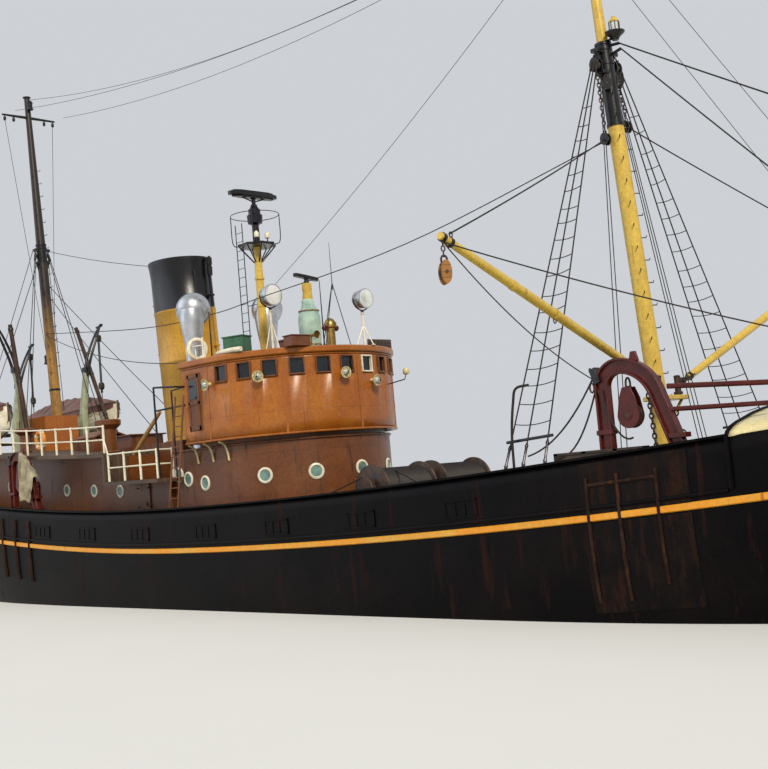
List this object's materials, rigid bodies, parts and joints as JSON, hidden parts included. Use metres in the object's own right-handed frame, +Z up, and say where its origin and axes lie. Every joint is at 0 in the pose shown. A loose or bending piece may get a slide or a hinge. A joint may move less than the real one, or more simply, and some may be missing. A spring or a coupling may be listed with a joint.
{
  "type": "side trawler, 1:2 scale model",
  "caption": "Steam side trawler afloat, 1:2 scale model: decked hull, whaleback, round-fronted wheelhouse, funnel, masts, booms, gallows, winch and lifeboats.",
  "frame": {"origin": "on the centreline at the waterline, amidships", "axes": "+X to the bow, +Y to port, +Z up"},
  "size_m": [26.9224, 8.4299, 12.9184],
  "materials": {
    "hull_paint": "weathered black topside paint with rust",
    "brown_paint": "dark red-brown house paint",
    "orange_brown_paint": "orange-brown grained house paint",
    "buff_paint": "buff yellow gloss paint, soiled",
    "black_paint": "black satin paint",
    "oxide_paint": "red oxide paint, worn",
    "white_paint": "white gloss paint, rust run",
    "grey_green_paint": "pale grey-green paint",
    "deck_gear_steel": "bare and greased iron",
    "cowl_aluminium": "bright aluminium paint",
    "deck_planks": "worn deck planking",
    "board_wood": "wet weathered planks",
    "tarred_wire": "tarred wire rope",
    "propeller_bronze": "dull bronze"
  },
  "bodies": {
    "root": {"hull": "hull_paint", "bulwark": "hull_paint", "whaleback": "hull_paint", "casing": "brown_paint", "boat_deck": "deck_planks", "galley_house": "orange_brown_paint", "bridge_house": "brown_paint", "wheelhouse_floor": "deck_planks", "wheelhouse_wall": "orange_brown_paint", "wheelhouse_roof": "orange_brown_paint", "funnel": "buff_paint", "skylight": "brown_paint", "foremast": "buff_paint", "mizzen": "buff_paint", "gallows_fore": "oxide_paint", "gallows_aft": "oxide_paint", "otter_board_fore": "board_wood", "otter_board_aft": "board_wood", "winch_bed": "deck_gear_steel", "windlass_bed": "deck_gear_steel", "hatch_coaming": "brown_paint", "radar_mast": "buff_paint", "radar_column": "grey_green_paint", "searchlight_stand_fore": "white_paint", "searchlight_stand_aft": "white_paint", "lifeboat_starboard": "white_paint", "lifeboat_port": "white_paint", "davit_aft_starboard": "grey_green_paint", "davit_fore_starboard": "grey_green_paint", "davit_aft_port": "grey_green_paint", "davit_fore_port": "grey_green_paint", "fore_shrouds_starboard": "tarred_wire", "fore_shrouds_port": "tarred_wire", "mizzen_shrouds_starboard": "tarred_wire", "mizzen_shrouds_port": "tarred_wire", "fore_stays": "tarred_wire", "boat_deck_rail_starboard": "white_paint", "boat_deck_rail_port": "white_paint"},
    "door_starboard": {"wheelhouse_door_starboard": "orange_brown_paint"},
    "door_port": {"wheelhouse_door_port": "orange_brown_paint"},
    "flap_starboard": {"skylight_flap_starboard": "brown_paint"},
    "flap_port": {"skylight_flap_port": "brown_paint"},
    "gooseneck_starboard": {"gooseneck_starboard": "deck_gear_steel"},
    "boom_starboard": {"boom_starboard": "buff_paint"},
    "gooseneck_port": {"gooseneck_port": "deck_gear_steel"},
    "boom_port": {"boom_port": "buff_paint"},
    "block_fore": {"gallows_block_fore": "oxide_paint"},
    "block_aft": {"gallows_block_aft": "oxide_paint"},
    "drum_starboard": {"winch_drum_starboard": "deck_gear_steel"},
    "drum_port": {"winch_drum_port": "deck_gear_steel"},
    "windlass_barrel": {"windlass_barrel": "deck_gear_steel"},
    "hatch_lid": {"hatch_lid": "board_wood"},
    "cowl_starboard": {"cowl_starboard": "cowl_aluminium"},
    "cowl_port": {"cowl_port": "cowl_aluminium"},
    "radar_scanner": {"radar_scanner": "black_paint"},
    "column_scanner": {"column_scanner": "black_paint"},
    "searchlight_fore": {"searchlight_fore": "cowl_aluminium"},
    "searchlight_aft": {"searchlight_aft": "cowl_aluminium"},
    "propeller": {"propeller": "propeller_bronze"},
    "rudder": {"rudder": "hull_paint"}
  },
  "joints": [
    {"name": "door_starboard_hinge", "type": "hinge", "parent": "root", "child": "door_starboard", "pos_m": [-1.515, -1.6725, 3.09], "axis": [0, 0, 1], "range_deg": [0, 110]},
    {"name": "door_port_hinge", "type": "hinge", "parent": "root", "child": "door_port", "pos_m": [-1.515, 1.6725, 3.09], "axis": [0, 0, -1], "range_deg": [0, 110]},
    {"name": "flap_starboard_hinge", "type": "hinge", "parent": "root", "child": "flap_starboard", "pos_m": [-7.4, -0.0374, 3.0772], "axis": [-1, 0, 0], "range_deg": [0, 50]},
    {"name": "flap_port_hinge", "type": "hinge", "parent": "root", "child": "flap_port", "pos_m": [-7.4, 0.0374, 3.0772], "axis": [1, 0, 0], "range_deg": [0, 50]},
    {"name": "boom_starboard_swing", "type": "hinge", "parent": "root", "child": "gooseneck_starboard", "pos_m": [5.708, -0.2, 2.45], "axis": [0, 0, 1], "range_deg": [0, 65]},
    {"name": "boom_starboard_topping", "type": "hinge", "parent": "gooseneck_starboard", "child": "boom_starboard", "pos_m": [5.7206, -0.2992, 2.539], "axis": [-0.992, -0.1259, 0], "range_deg": [0, 35]},
    {"name": "boom_port_swing", "type": "hinge", "parent": "root", "child": "gooseneck_port", "pos_m": [5.708, 0.2, 2.45], "axis": [0, 0, 1], "range_deg": [-50, 0]},
    {"name": "boom_port_topping", "type": "hinge", "parent": "gooseneck_port", "child": "boom_port", "pos_m": [5.7206, 0.2992, 2.539], "axis": [0.992, -0.1259, 0], "range_deg": [0, 35]},
    {"name": "block_fore_swing", "type": "hinge", "parent": "root", "child": "block_fore", "pos_m": [6.56, -2.025, 2.514], "axis": [1, 0, 0], "range_deg": [-30, 30]},
    {"name": "block_aft_swing", "type": "hinge", "parent": "root", "child": "block_aft", "pos_m": [-6.63, -2.1, 2.518], "axis": [1, 0, 0], "range_deg": [-30, 30]},
    {"name": "drum_starboard_turn", "type": "hinge", "parent": "root", "child": "drum_starboard", "pos_m": [1.5, -0.575, 1.525], "axis": [0, 1, 0], "continuous": true},
    {"name": "drum_port_turn", "type": "hinge", "parent": "root", "child": "drum_port", "pos_m": [1.5, 0.575, 1.525], "axis": [0, 1, 0], "continuous": true},
    {"name": "windlass_turn", "type": "hinge", "parent": "root", "child": "windlass_barrel", "pos_m": [10.3, 0, 2.669], "axis": [0, 1, 0], "continuous": true},
    {"name": "hatch_lid_lift", "type": "slide", "parent": "root", "child": "hatch_lid", "axis": [0, 0, 1], "range_m": [0, 0.3]},
    {"name": "cowl_starboard_turn", "type": "hinge", "parent": "root", "child": "cowl_starboard", "pos_m": [-2.46, -1.065, 3.5], "axis": [0, 0, 1], "continuous": true},
    {"name": "cowl_port_turn", "type": "hinge", "parent": "root", "child": "cowl_port", "pos_m": [-2.475, 0.49, 3.5], "axis": [0, 0, 1], "continuous": true},
    {"name": "radar_scanner_turn", "type": "hinge", "parent": "root", "child": "radar_scanner", "pos_m": [-1.735, -0.175, 6.35], "axis": [0, 0, 1], "continuous": true},
    {"name": "column_scanner_turn", "type": "hinge", "parent": "root", "child": "column_scanner", "pos_m": [-0.77, 0, 4.9], "axis": [0, 0, 1], "continuous": true},
    {"name": "searchlight_fore_pan", "type": "hinge", "parent": "root", "child": "searchlight_fore", "pos_m": [0.15, 0.3, 4.3], "axis": [0, 0, 1], "range_deg": [-170, 170]},
    {"name": "searchlight_aft_pan", "type": "hinge", "parent": "root", "child": "searchlight_aft", "pos_m": [-1.115, -0.5, 4.5], "axis": [0, 0, 1], "range_deg": [-170, 170]},
    {"name": "propeller_spin", "type": "hinge", "parent": "root", "child": "propeller", "pos_m": [-11.05, 0, -1.45], "axis": [1, 0, 0], "continuous": true},
    {"name": "rudder_turn", "type": "hinge", "parent": "root", "child": "rudder", "pos_m": [-11.69, 0, -1.4], "axis": [0, 0, 1], "range_deg": [-35, 35]}
  ]
}
